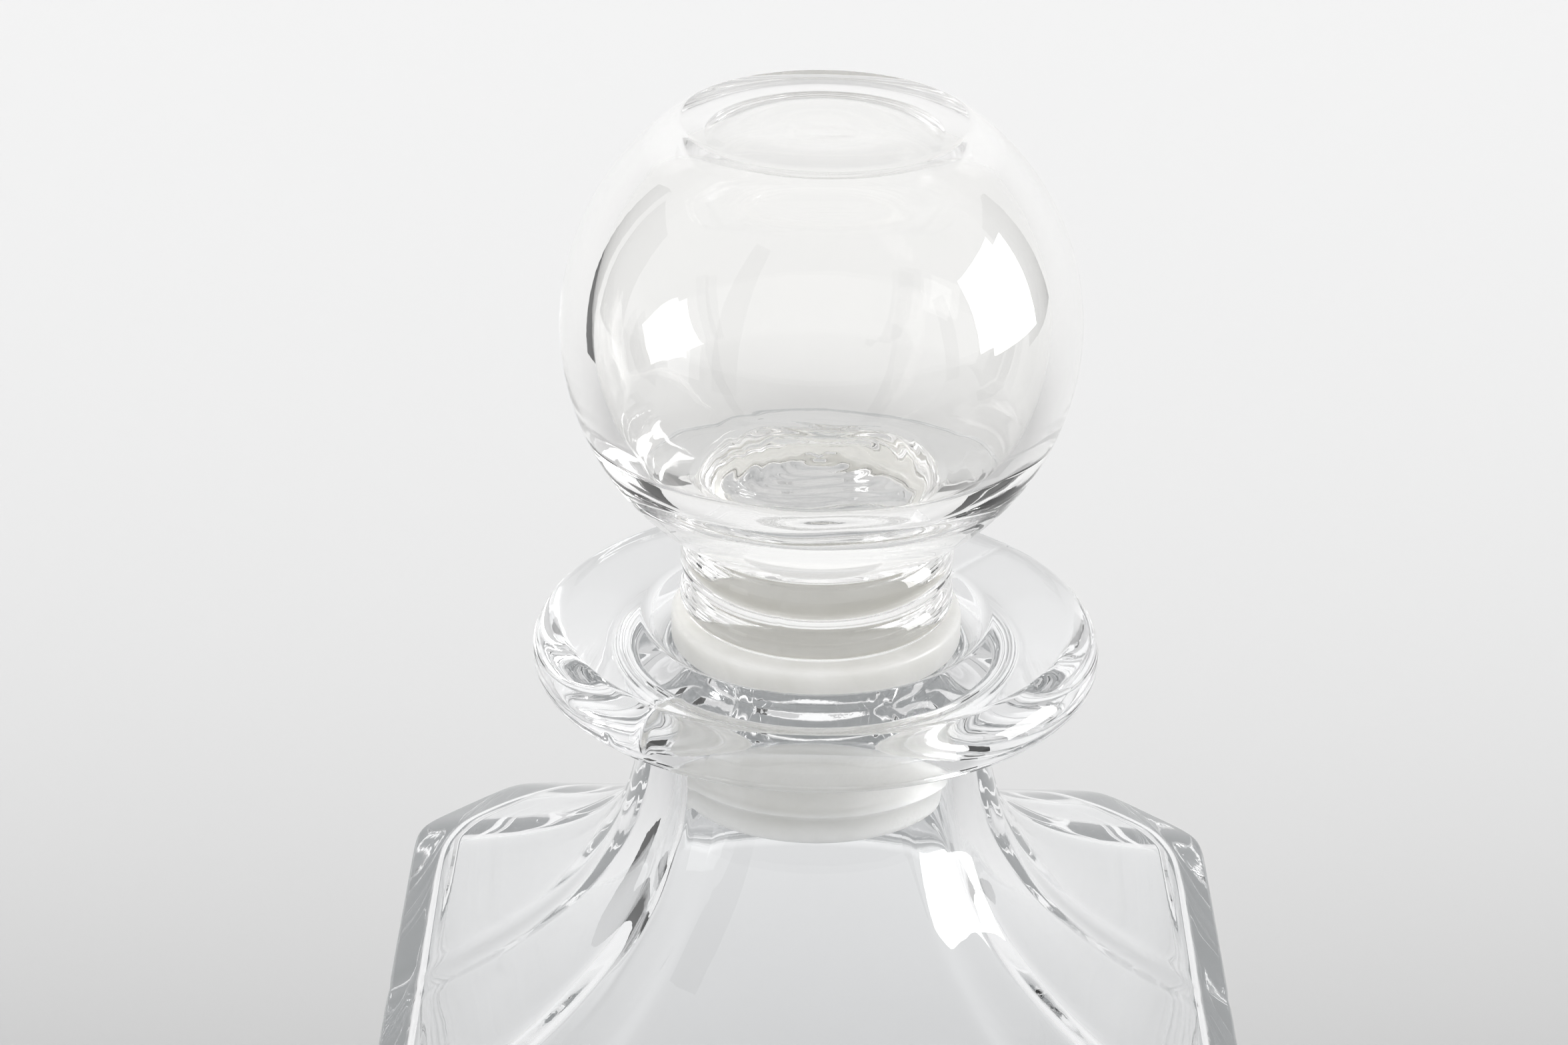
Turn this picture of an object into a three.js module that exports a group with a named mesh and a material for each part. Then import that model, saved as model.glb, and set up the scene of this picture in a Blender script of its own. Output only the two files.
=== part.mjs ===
// A square spirit decanter in clear glass: the bottle, a hollow ball stopper, and the plastic
// gasket that seals the stopper's shank in the bottle's neck.
// Millimetres, +Z up. The origin is on the table, under the middle of the base.
import * as THREE from "three";

// Bottle
const BODY_WIDTH = 90; // across the flat sides
const CORNER_CUT = 10.8; // leg of the 45 degree cut along each upright corner
const BODY_HEIGHT = 126; // table to the body's top edge
const WALL = 4.3; // glass in the sides, the shoulder and the neck
const BASE_THICKNESS = 14.5; // the heavy base under the liquid
const CAVITY_FLOOR_RADIUS = 9; // round between the inner floor and the sides
const FOOT_RADIUS = 3; // round between the base and the sides
const EDGE_RADIUS = 0.8; // round between the sides and the shoulder
const RECESS_RADIUS = 32; // shallow hollow under the base
const RECESS_DEPTH = 1.2;
const SHOULDER_SLOPE = 28; // degrees, where the shoulder leaves the body's edge
const SLOPE_REACH = 15; // how far the shoulder keeps the slope it starts with
const FLARE_PULL = 15; // height that the flare bends towards, above the body's edge
const BRINK_ROUND = 1.2; // round between the cavity's sides and its shoulder
const NECK_RADIUS = 18.1;
const NECK_START = 33; // above the body's edge, where the flare has become the neck
const BORE_RADIUS = NECK_RADIUS - WALL;
const LIP_HEIGHT = 45.4; // lip's flat top above the body's edge
const LIP_RADIUS = 28.9;
const LIP_FACE_RADIUS = 25.8; // outer rim of the flat top
const LIP_BELLY = 3.6; // depth at which the lip is widest
const LIP_DEPTH = 5.7; // thickness of the lip
const LIP_ROLL = 2.4; // how far in from its widest point the lip's underside starts to round
const LIP_FILLET = [3.4, 5]; // reach and height of the hollow curve between the neck and the lip
const MOUTH_RADIUS = 17.3; // the recess that the gasket's flange sits in
const SEAT_RADIUS = 15.4;
const SEAT_DEPTH = 2.4;

// Gasket
const FIT_GAP = 0.2; // air between two pieces that touch on the real object
const FLANGE_RADIUS = 14.75;
const FLANGE_TOP = 0.9; // above the lip's flat top
const FLANGE_THICKNESS = 3.1;
const SLEEVE_RADIUS = 13.0;
const SLEEVE_INNER_RADIUS = 12.0;
const SLEEVE_BOTTOM = -19; // from the lip's flat top
const FIN_RADIUS = 13.6; // sealing fins round the sleeve
const FIN_COUNT = 3;
const FIN_PITCH = 4;
const FIN_HEIGHT = 1.2;
const FIN_START = 3.4; // middle of the lowest fin, above the sleeve's end

// Stopper
const BALL_RADIUS = 25.75;
const BALL_CENTRE = 31.9; // above the lip's flat top
const BALL_FLAT = 21.5; // the polished flat, above the ball's centre
const BALL_WALL = 3.2;
const HOLLOW_FLAT = 19.2; // the hollow's level top, above the ball's centre
const LID_ROUND = 5; // round between the hollow's sphere and its top
const DIMPLE_RADIUS = 5.7; // shallow mark in the middle of the hollow's top
const DIMPLE_DEPTH = 0.15;
const FLOOR_START = -25; // degrees from the ball's middle, where the hollow's sphere meets its floor
const FLOOR_RADIUS = 11; // level part of the hollow's floor
const FLOOR_HEIGHT = 17.4; // above the lip's flat top
const BASIN_PULL = [17.5, 18]; // radius and height that the floor's rising edge bends towards
const BEAD_RADIUS = 13.6; // two rounded rings round the shank, above the gasket
const GROOVE_RADIUS = 12.9;
const BEADS_TOP = 9.6; // above the lip's flat top
const LOW_BEAD_SHARE = 0.42; // the lower ring's part of the two rings' height
const SHANK_RADIUS = 11.8; // inside the gasket
const SHANK_BOTTOM = -17.5;
const CHANNEL_RADIUS = 3.8; // open blow hole that leads up into the hollow
const CHANNEL_TOP = 13; // where the hole widens into the hollow

// Facets round a full turn, and steps along a curve
const LATHE_SEGMENTS = 44;
const SIDE_STEPS = 10; // along each flat side
const CORNER_STEPS = 5; // along each cut corner
const SHOULDER_STEPS = 16; // up the shoulder

const HALF_WIDTH = BODY_WIDTH / 2;
const LIP_TOP = BODY_HEIGHT + LIP_HEIGHT;
const DEGREE = Math.PI / 180;

// Points of a Bezier curve through 3 or 4 controls, each [radius, height]; the first is left out.
function bezier(controls, steps) {
  const [a, b, c, d] = controls.map(([x, y]) => new THREE.Vector2(x, y));
  const curve = d ? new THREE.CubicBezierCurve(a, b, c, d) : new THREE.QuadraticBezierCurve(a, b, c);
  return curve
    .getPoints(steps)
    .slice(1)
    .map((p) => [p.x, p.y]);
}

// Points of an arc round [cx, cy], from one angle to another in degrees, both ends in.
function arc(cx, cy, radius, from, to, steps) {
  return Array.from({ length: steps + 1 }, (_, i) => {
    const angle = (from + ((to - from) * i) / steps) * DEGREE;
    return [cx + radius * Math.cos(angle), cy + radius * Math.sin(angle)];
  });
}

// How far the body's outline reaches at an angle, as a share of its half width: 1 in the middle of a
// side, more towards the corners. cornerShare is the distance of a cut corner's face from the axis.
function squareReach(angle, cornerShare) {
  const across = Math.max(Math.abs(Math.cos(angle)), Math.abs(Math.sin(angle)));
  const diagonal = (Math.abs(Math.cos(angle)) + Math.abs(Math.sin(angle))) / Math.SQRT2;
  return Math.min(1 / across, cornerShare / diagonal);
}

// The angles of a ring's points: even steps along the flat sides and along the cut corners.
function ringAngles() {
  const corner = Math.atan2(HALF_WIDTH - CORNER_CUT, HALF_WIDTH);
  const angles = [];
  for (let quarter = 0; quarter < 4; quarter++) {
    const middle = (quarter * Math.PI) / 2;
    for (let i = 0; i < SIDE_STEPS; i++) angles.push(middle - corner + (2 * corner * i) / SIDE_STEPS);
    const cut = Math.PI / 2 - 2 * corner;
    for (let i = 0; i < CORNER_STEPS; i++) angles.push(middle + corner + (cut * i) / CORNER_STEPS);
  }
  return angles;
}

// A closed skin over rings of points. Each station is { r, z, square, corner }: square runs from 0, a
// circle, to 1, the body's outline. The first and last stations are points on the axis.
function loftGeometry(stations) {
  const angles = ringAngles();
  const count = angles.length;
  const positions = [0, 0, stations[0].z];
  for (const { r, z, square, corner } of stations.slice(1, -1)) {
    for (const angle of angles) {
      const reach = r * (1 + square * (squareReach(angle, corner) - 1));
      positions.push(reach * Math.cos(angle), reach * Math.sin(angle), z);
    }
  }
  positions.push(0, 0, stations.at(-1).z);
  const index = [];
  const rings = stations.length - 2;
  const last = 1 + rings * count;
  const at = (ring, i) => 1 + ring * count + (i % count);
  for (let i = 0; i < count; i++) {
    index.push(0, at(0, i + 1), at(0, i));
    index.push(last, at(rings - 1, i), at(rings - 1, i + 1));
    for (let ring = 0; ring < rings - 1; ring++) {
      index.push(at(ring, i), at(ring, i + 1), at(ring + 1, i));
      index.push(at(ring + 1, i), at(ring, i + 1), at(ring + 1, i + 1));
    }
  }
  const geometry = new THREE.BufferGeometry();
  geometry.setAttribute("position", new THREE.Float32BufferAttribute(positions, 3));
  geometry.setIndex(index);
  geometry.computeVertexNormals();
  return geometry;
}

// A profile of [radius, height] turned about the vertical axis.
function turnedGeometry(profile) {
  const points = profile.map(([r, z]) => new THREE.Vector2(r, z));
  return new THREE.LatheGeometry(points, LATHE_SEGMENTS).rotateX(Math.PI / 2);
}

function clearGlass() {
  return new THREE.MeshStandardMaterial({
    color: 0xf3f6f7,
    roughness: 0.03,
    metalness: 0,
    transparent: true,
    opacity: 0.35,
  });
}

function milkyPlastic() {
  return new THREE.MeshStandardMaterial({ color: 0xe9eaec, roughness: 0.45, metalness: 0 });
}

function mesh(name, geometry, material) {
  const made = new THREE.Mesh(geometry, material);
  made.name = name;
  return made;
}

// Distance of the cut corner's face from the axis over that of the flat's, for the body's outline set
// in by a distance.
function bodyCorner(inset) {
  return ((BODY_WIDTH - CORNER_CUT) / Math.SQRT2 - inset) / (HALF_WIDTH - inset);
}

// Length from a rounded edge's sharp corner to where the round begins, at the top of the sides.
function brinkLength() {
  return EDGE_RADIUS * Math.tan((90 - SHOULDER_SLOPE) * 0.5 * DEGREE);
}

// The middle of a shoulder face from the body's edge up to the neck, as stations that turn from the
// body's outline into a circle.
function shoulderLine() {
  const slope = SHOULDER_SLOPE * DEGREE;
  const start = [
    HALF_WIDTH - brinkLength() * Math.cos(slope),
    BODY_HEIGHT + brinkLength() * Math.sin(slope),
  ];
  const flare = bezier(
    [
      start,
      [start[0] - SLOPE_REACH * Math.cos(slope), start[1] + SLOPE_REACH * Math.sin(slope)],
      [NECK_RADIUS + 0.5, BODY_HEIGHT + FLARE_PULL],
      [NECK_RADIUS, BODY_HEIGHT + NECK_START],
    ],
    SHOULDER_STEPS,
  );
  return [start, ...flare].map(([r, z], i) => ({
    r,
    z,
    square: 1 - THREE.MathUtils.smoothstep(i / SHOULDER_STEPS, 0, 1),
    corner: bodyCorner(0),
  }));
}

// The same line one wall further in, from the bore down to the cavity's own edge.
function cavityShoulder() {
  const outer = shoulderLine();
  const corner = bodyCorner(WALL);
  const made = outer.map(({ r, z, square }, i) => {
    const before = outer[Math.max(i - 1, 0)];
    const after = outer[Math.min(i + 1, outer.length - 1)];
    const along = new THREE.Vector2(after.r - before.r, after.z - before.z).normalize();
    const inner = r - WALL * along.y;
    const diagonal = r * (1 + square * (bodyCorner(0) - 1)) - (r - inner);
    return { r: inner, z: z + WALL * along.x, square: (diagonal / inner - 1) / (corner - 1), corner };
  });
  return made.filter(({ r }) => r < HALF_WIDTH - WALL - BRINK_ROUND).reverse();
}

// The outside from the middle of the base up to the widest point of the lip.
function bottleOutside() {
  const corner = bodyCorner(0);
  const station = ([r, z], square) => ({ r, z, square, corner });
  const foot = arc(HALF_WIDTH - FOOT_RADIUS, FOOT_RADIUS, FOOT_RADIUS, -90, 0, 3);
  const brinkTurn = 90 - SHOULDER_SLOPE;
  const brink = arc(HALF_WIDTH - EDGE_RADIUS, BODY_HEIGHT - brinkLength(), EDGE_RADIUS, 0, brinkTurn, 3);
  const [filletReach, filletHeight] = LIP_FILLET;
  const neckTop = LIP_TOP - LIP_DEPTH - filletHeight;
  const underLip = bezier(
    [
      [NECK_RADIUS, neckTop],
      [NECK_RADIUS, LIP_TOP - LIP_DEPTH - 1.2],
      [NECK_RADIUS + filletReach, LIP_TOP - LIP_DEPTH - 0.7],
    ],
    4,
  );
  const lipBelow = bezier(
    [
      [LIP_RADIUS - LIP_ROLL, LIP_TOP - LIP_DEPTH],
      [LIP_RADIUS, LIP_TOP - LIP_DEPTH + 0.4],
      [LIP_RADIUS, LIP_TOP - LIP_BELLY],
    ],
    3,
  );
  return [
    station([0, RECESS_DEPTH], 0),
    station([RECESS_RADIUS - 2, RECESS_DEPTH], 0),
    station([RECESS_RADIUS, 0], 0),
    ...foot.map((p) => station(p, 1)),
    ...brink.map((p) => station(p, 1)),
    ...shoulderLine().slice(1),
    station([NECK_RADIUS, neckTop], 0),
    ...underLip.map((p) => station(p, 0)),
    station([LIP_RADIUS - LIP_ROLL, LIP_TOP - LIP_DEPTH], 0),
    ...lipBelow.map((p) => station(p, 0)),
  ];
}

// The inside from the lip's widest point over the flat top, down the bore and to the inner floor.
function bottleInside() {
  const half = HALF_WIDTH - WALL;
  const corner = bodyCorner(WALL);
  const station = ([r, z], square) => ({ r, z, square, corner });
  const lipAbove = bezier(
    [
      [LIP_RADIUS, LIP_TOP - LIP_BELLY],
      [LIP_RADIUS, LIP_TOP - 0.9],
      [LIP_FACE_RADIUS, LIP_TOP],
    ],
    4,
  );
  const shoulder = cavityShoulder();
  const low = shoulder.at(-1);
  const edge = low.z - (half - low.r) * Math.tan(SHOULDER_SLOPE * DEGREE);
  const brink = bezier([[low.r, low.z], [half, edge], [half, edge - BRINK_ROUND]], 3);
  const round = CAVITY_FLOOR_RADIUS;
  const floor = arc(half - round, BASE_THICKNESS + round, round, 0, -90, 4);
  return [
    ...lipAbove.map((p) => station(p, 0)),
    station([MOUTH_RADIUS, LIP_TOP], 0),
    station([SEAT_RADIUS, LIP_TOP - SEAT_DEPTH], 0),
    station([BORE_RADIUS, LIP_TOP - SEAT_DEPTH], 0),
    ...shoulder,
    ...brink.map((p) => station(p, 1)),
    ...floor.map((p) => station(p, 1)),
    station([0, BASE_THICKNESS], 0),
  ];
}

function makeBottle() {
  return mesh("bottle", loftGeometry([...bottleOutside(), ...bottleInside()]), clearGlass());
}

// The flanged sleeve, as a closed profile drawn from the lip's flat top; fins are ridges on its outside.
function makeGasket() {
  const flangeBottom = FLANGE_TOP - FLANGE_THICKNESS;
  const fins = [];
  for (let i = 0; i < FIN_COUNT; i++) {
    const middle = SLEEVE_BOTTOM + FIN_START + FIN_PITCH * i;
    fins.push(
      [SLEEVE_RADIUS, middle - FIN_HEIGHT / 2],
      [FIN_RADIUS, middle + FIN_HEIGHT / 4],
      [SLEEVE_RADIUS, middle + FIN_HEIGHT / 2],
    );
  }
  const profile = [
    [SLEEVE_INNER_RADIUS, SLEEVE_BOTTOM],
    [SLEEVE_RADIUS - 0.4, SLEEVE_BOTTOM],
    [SLEEVE_RADIUS, SLEEVE_BOTTOM + 0.8],
    ...fins,
    [SLEEVE_RADIUS, flangeBottom],
    [FLANGE_RADIUS - 0.3, flangeBottom],
    [FLANGE_RADIUS, flangeBottom + 0.3],
    [FLANGE_RADIUS, FLANGE_TOP - 0.6],
    [FLANGE_RADIUS - 0.6, FLANGE_TOP],
    [SLEEVE_INNER_RADIUS, FLANGE_TOP],
    [SLEEVE_INNER_RADIUS, SLEEVE_BOTTOM],
  ];
  return mesh("gasket", turnedGeometry(profile), milkyPlastic());
}

// The ball and its ringed shank, one piece of glass; the hollow opens at the foot of the shank.
function makeStopper() {
  const hollowRadius = BALL_RADIUS - BALL_WALL;
  const angleAt = (height, radius) => Math.asin(height / radius) / DEGREE;
  const beadsBottom = FLANGE_TOP + FIT_GAP;
  const beadSplit = beadsBottom + LOW_BEAD_SHARE * (BEADS_TOP - beadsBottom);
  const bead = (bottom, top) =>
    bezier(
      [
        [GROOVE_RADIUS, bottom],
        [BEAD_RADIUS + 0.6, bottom + 0.2 * (top - bottom)],
        [BEAD_RADIUS + 0.6, top - 0.2 * (top - bottom)],
        [GROOVE_RADIUS, top],
      ],
      5,
    );
  const ballBottom = angleAt(BEADS_TOP + 0.7 - BALL_CENTRE, BALL_RADIUS);
  const outer = arc(0, BALL_CENTRE, BALL_RADIUS, ballBottom, angleAt(BALL_FLAT, BALL_RADIUS), 16);
  const lid = BALL_CENTRE + HOLLOW_FLAT;
  const lidRadius = Math.sqrt(hollowRadius ** 2 - HOLLOW_FLAT ** 2);
  const lidStart = angleAt(HOLLOW_FLAT, hollowRadius) - LID_ROUND / hollowRadius / DEGREE;
  const bubble = arc(0, BALL_CENTRE, hollowRadius, lidStart, FLOOR_START, 12);
  const lidEdge = bezier([[lidRadius - LID_ROUND, lid], [lidRadius, lid], bubble[0]], 3);
  const basin = bezier([bubble.at(-1), BASIN_PULL, [FLOOR_RADIUS, FLOOR_HEIGHT]], 4);
  const throat = bezier(
    [
      [FLOOR_RADIUS, FLOOR_HEIGHT],
      [CHANNEL_RADIUS, FLOOR_HEIGHT - 1],
      [CHANNEL_RADIUS, CHANNEL_TOP],
    ],
    4,
  );
  const profile = [
    [0, lid - DIMPLE_DEPTH],
    [DIMPLE_RADIUS / 2, lid - DIMPLE_DEPTH / 2],
    [DIMPLE_RADIUS, lid],
    [lidRadius - LID_ROUND, lid],
    ...lidEdge,
    ...bubble.slice(1),
    ...basin,
    ...throat,
    [CHANNEL_RADIUS, SHANK_BOTTOM],
    [SHANK_RADIUS - 0.6, SHANK_BOTTOM],
    [SHANK_RADIUS, SHANK_BOTTOM + 1],
    [SHANK_RADIUS, beadsBottom],
    [GROOVE_RADIUS, beadsBottom],
    ...bead(beadsBottom, beadSplit),
    ...bead(beadSplit, BEADS_TOP),
    ...outer,
    [0, BALL_CENTRE + BALL_FLAT],
  ];
  return mesh("stopper", turnedGeometry(profile), clearGlass());
}

// The gasket and the stopper are drawn from the lip's flat top, so one group lifts both to it.
const closure = new THREE.Group();
closure.position.z = LIP_TOP;
closure.add(makeGasket(), makeStopper());

const decanter = new THREE.Group();
decanter.add(makeBottle(), closure);

export default decanter;
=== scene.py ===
"""A square glass decanter with a hollow ball stopper in a milky gasket, on a pale studio sweep."""

import math

import bpy
import numpy as np
from mathutils import Matrix, Vector, noise


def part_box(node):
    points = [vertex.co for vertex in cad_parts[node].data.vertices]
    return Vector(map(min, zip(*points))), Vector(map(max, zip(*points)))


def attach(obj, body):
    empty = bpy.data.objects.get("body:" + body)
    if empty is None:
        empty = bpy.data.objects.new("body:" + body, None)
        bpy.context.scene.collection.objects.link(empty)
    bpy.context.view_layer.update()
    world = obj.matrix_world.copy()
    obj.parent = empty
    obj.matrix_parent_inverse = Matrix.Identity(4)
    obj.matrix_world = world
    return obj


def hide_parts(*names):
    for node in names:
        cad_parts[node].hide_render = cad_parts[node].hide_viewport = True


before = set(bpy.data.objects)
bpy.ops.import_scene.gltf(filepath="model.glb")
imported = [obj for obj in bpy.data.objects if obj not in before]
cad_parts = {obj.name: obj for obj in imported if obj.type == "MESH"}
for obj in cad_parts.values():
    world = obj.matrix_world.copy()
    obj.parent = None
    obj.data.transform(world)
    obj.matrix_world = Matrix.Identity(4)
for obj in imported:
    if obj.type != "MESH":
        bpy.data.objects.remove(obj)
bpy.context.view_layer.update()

MM = 0.001

# ---------------------------------------------------------------- sizes, in millimetres
BOTTLE_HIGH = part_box("bottle")[1] / MM
STOPPER_LOW, STOPPER_HIGH = (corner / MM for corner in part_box("stopper"))
GASKET_LOW, GASKET_HIGH = (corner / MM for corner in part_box("gasket"))

# body
HALF_WIDTH = BOTTLE_HIGH.x
LIP_TOP = BOTTLE_HIGH.z
LIP_HEIGHT = 45.4  # lip's flat top above the body's edge
BODY_HEIGHT = LIP_TOP - LIP_HEIGHT
CORNER_CUT = 10.8  # leg of the cut along each upright corner
WALL = 4.3
BASE_THICKNESS = 14.5
CAVITY_FLOOR_RADIUS = 9  # round between the cavity's floor and its walls
FOOT_RADIUS = 3.0
RECESS_FLAT = 28.0  # how far the level part of the recess under the base reaches
RECESS_EDGE = 33.0  # where the base starts to touch the table
RECESS_DEPTH = 1.2
RECESS_PULL = 2  # how far the step between them stays level at each end

# shoulder and neck
SHOULDER_SLOPE = 28.0  # degrees
SHOULDER_PULL = 15  # how far the shoulder's curve holds that slope
EDGE_RADIUS = 0.8  # round between the sides and the shoulder
EDGE_LENGTH = EDGE_RADIUS * math.tan(math.radians(90 - SHOULDER_SLOPE) / 2)  # it starts so far down
BRINK_ROUND = 1.2  # the same edge's round in the cavity
BRINK_RINGS = 12  # rings over which the cavity's outline gets its sharp corners back there
NECK_RADIUS = 18.1
NECK_START = 33.0  # above the body's edge
NECK_PULL_HEIGHT = 15  # above the body's edge: how low the neck pulls the shoulder's curve
NECK_PULL_LEAN = 0.5
CRISP_OUTSIDE = 60  # how sharp the outline's corners are, see square_reach
CRISP_INSIDE = 30

# lip and mouth, with depths below the lip's flat top
LIP_RADIUS = 28.9
LIP_FACE_RADIUS = 25.8  # where the flat top ends
LIP_FACE_LAND = 0.4  # flat kept next to the round, so that it shades as a flat
LIP_TURN = 0.9  # where the round above the belly turns over
LIP_BELLY = 3.6  # where the lip is widest
LIP_DEPTH = 5.7
LIP_ROLL = 2.4  # width of the round below the belly
LIP_ROLL_PULL = 0.4
FILLET_HEIGHT = 5.0  # fillet between the neck and the lip
FILLET_WIDTH = 3.4
FILLET_DROP = 0.7  # its end is so far below the lip's underside
FILLET_PULL = 1.2
MOUTH_RADIUS = 17.3
MOUTH_ROUND = 0.7
MOUTH_TAPER = 0.5  # the mouth's wall starts this far in and this far down
MOUTH_DROP = 0.6
SEAT_RADIUS = 15.4
SEAT_DEPTH = 2.4
SEAT_ROUND = 0.6
SEAT_PULL = 0.1
BORE_RADIUS = NECK_RADIUS - WALL
BORE_ROUND = 0.4

# unevenness of the bottle's glass
WAVE_OUTSIDE = 0.012
WAVE_INSIDE = 0.06
WAVE_FINE = 0.025
SIDE_RIPPLE = 0.05  # on the cavity's left and right walls
SEAM_DIP = 0.12  # where the mould's halves met, the outside dips in and the inside rises
SEAM_WIDTH = 1.3
SEAM_RISE_INSIDE = 0.12
SEAM_WIDTH_INSIDE = 1.0
NECK_LINE_DEPTH = 0.1  # a fine wavering line in the neck, at the front left
NECK_LINE_WIDTH = 0.45
NECK_LINE_SWAY = 0.25

# gasket, with heights above the lip's flat top
FIT_GAP = 0.2  # between the gasket's flange and the stopper's lower bead
FLANGE_RADIUS = GASKET_HIGH.x
FLANGE_TOP = GASKET_HIGH.z - LIP_TOP
FLANGE_THICKNESS = 3.1
FLANGE_ROUND = 0.6  # upper edge
GASKET_ROUND = 0.4  # its other edges
GASKET_FILLET = 0.5  # between the sleeve and the flange
SLEEVE_RADIUS = 13.0
SLEEVE_INNER_RADIUS = 12.0
SLEEVE_BOTTOM = GASKET_LOW.z - LIP_TOP
LEAD_WIDTH = 0.5  # the round that leads the sleeve into the bore
LEAD_HEIGHT = 0.8
LEAD_PULL = 0.1
LEAD_INNER_WIDTH = 0.3
FIN_RADIUS = 13.6
FIN_COUNT = 3
FIN_START = 3.4  # the lowest fin's middle above the sleeve's end
FIN_PITCH = 4.0
FIN_HEIGHT = 1.2
FIN_EDGE = (0.15, 0.25)  # the fin's edge, above its middle, as shares of its height

# stopper, with heights above the lip's flat top unless a comment says otherwise
BALL_RADIUS = STOPPER_HIGH.x
BALL_FLAT = 21.5  # the polished flat, above the ball's centre
BALL_CENTRE = STOPPER_HIGH.z - LIP_TOP - BALL_FLAT
BALL_WALL = 3.2
BALL_END = 0.7  # the ball ends this far above the beads
FLAT_EDGE = 0.35  # round between the flat and the ball, and its degrees on the ball
FLAT_EDGE_TURN = 1.2
HOLLOW_FLAT = 19.2  # top of the hollow, above the ball's centre
LID_ROUND = 5.0
DIMPLE_RADIUS = 5.7  # shallow mark on the hollow's top
DIMPLE_DEPTH = 0.15
FLOOR_START = -25  # degrees on the hollow's ball at which its floor starts
FLOOR_RADIUS = 11  # of the floor's level part
FLOOR_HEIGHT = 17.4
BASIN_RADIUS = 17.5  # pull of the curve between the floor and the ball
BASIN_RISE = 0.6
BEAD_RADIUS = 13.6
BEAD_PULL = 0.6
BEAD_SQUARE = 0.2  # share of a bead's height at which that pull acts, from each end
LOW_BEAD_SHARE = 0.42  # the lower bead's share of the height of both
GROOVE_RADIUS = 12.9
GROOVE_ROUND = 0.4
BEADS_TOP = 9.6
BEADS_BOTTOM = FLANGE_TOP + FIT_GAP
SHANK_RADIUS = 11.8
SHANK_BOTTOM = STOPPER_LOW.z - LIP_TOP
SHANK_ROUND = 0.8
SHANK_ROUND_HEIGHT = 1

# unevenness of the stopper's glass
HOLLOW_WAVE = 0.05
FLOOR_SWELL = 0.35
FLOOR_STEP = 0.05
FLOOR_STEP_PITCH = 2
CONTOUR_WIDTH = 10  # half sizes of a contour of the floor's steps, and that contour's number
CONTOUR_LENGTH = 9
CONTOUR_LEVEL = 8
CONTOUR_CENTRE = -1  # along Y
CONTOUR_SQUARE = 5  # 2 would make the contours ellipses
CONTOUR_SWAY = 2.2
CONTOUR_END = 10  # the steps fade out towards this contour
BEAD_LINE_TURN = math.radians(106)  # the mould's line on the beads is this far before the +X side
BEAD_LINE_DEPTH = 0.1
BEAD_LINE_WIDTH = 0.4

# ---------------------------------------------------------------- looks
GLASS_INDEX = 1.52
BOTTLE_TINT = (0.99, 0.995, 1.0)
STOPPER_TINT = (1.0, 0.998, 0.99)
BOTTLE_SWELL = 0.00004  # metres, as all bump heights are
STOPPER_SWELL = 0.00005
GLASS_SKIN = 0.000003
PLASTIC_GRAIN = 0.00003
PLASTIC_CLOUD = {0.35: (0.68, 0.675, 0.65, 1), 0.65: (0.74, 0.735, 0.715, 1)}
PLASTIC_POLISH = (0.24, 0.42)

SHADED_PAPER_FRONT = 0.6  # painted shade: the sweep paper's colour round the object, darkened as if less light fell there
UNSHADED_PAPER_BACK = 0.86  # and far behind it, without the painted shade
PAPER_SHADE_START = 0.18  # metres behind the object at which the painted shade starts to lift
PAPER_SHADE_FADE = 0.12  # metres over which most of it happens
GLOW = 0.26  # strength of the light under the base
BOUNCES = 32

# ---------------------------------------------------------------- studio sizes, in metres
SWEEP_WIDTH = 6.0
SWEEP_FRONT = -3.0
SWEEP_BACK = 1.1
SWEEP_TOP = 3.0
SWEEP_RADIUS = 0.9
AIM = (0, 0, 0.19)  # what the windows point at, about the neck
GLOW_HALF = 0.06
GLOW_GAP = 0.00004


# ---------------------------------------------------------------- curves and outlines
def bezier(controls, steps):
    """Points of a Bezier curve without its first point."""
    pts = [np.array(c, float) for c in controls]
    degree = len(pts) - 1
    weights = [math.comb(degree, k) for k in range(degree + 1)]
    made = []
    for i in range(1, steps + 1):
        t = i / steps
        p = sum(w * (1 - t) ** (degree - k) * t**k * pts[k] for k, w in enumerate(weights))
        made.append((float(p[0]), float(p[1])))
    return made


def arc(centre, radius, start, end, steps):
    """Points of an arc, angles in degrees, both ends in."""
    angles = np.radians(np.linspace(start, end, steps + 1))
    return [(centre[0] + radius * math.cos(a), centre[1] + radius * math.sin(a)) for a in angles]


def line(start, end, steps):
    """Points from start to end without the first."""
    return [tuple(np.add(start, np.subtract(end, start) * i / steps)) for i in range(1, steps + 1)]


def angle_at(height, radius):
    """Where a circle reaches a height above its centre, in degrees."""
    return math.degrees(math.asin(height / radius))


def smoothstep(x, low, high):
    """0 up to low, 1 from high, and a smooth rise between them."""
    t = np.clip((x - low) / (high - low), 0, 1)
    return t * t * (3 - 2 * t)


def ridge(distance, width):
    """A smooth line: 1 along its middle, fading over width to each side."""
    return np.exp(-((distance / width) ** 2))


def square_reach(angles, corner_share, crispness):
    """How far the body's outline reaches at each angle, as a share of its half width, with the
    edges of its cut corners slightly rounded. A higher crispness rounds them less."""
    across, along = np.abs(np.cos(angles)), np.abs(np.sin(angles))
    diagonal = (across + along) / math.sqrt(2) / corner_share
    total = across**crispness + along**crispness + diagonal**crispness
    return total ** (-1 / crispness)


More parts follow.
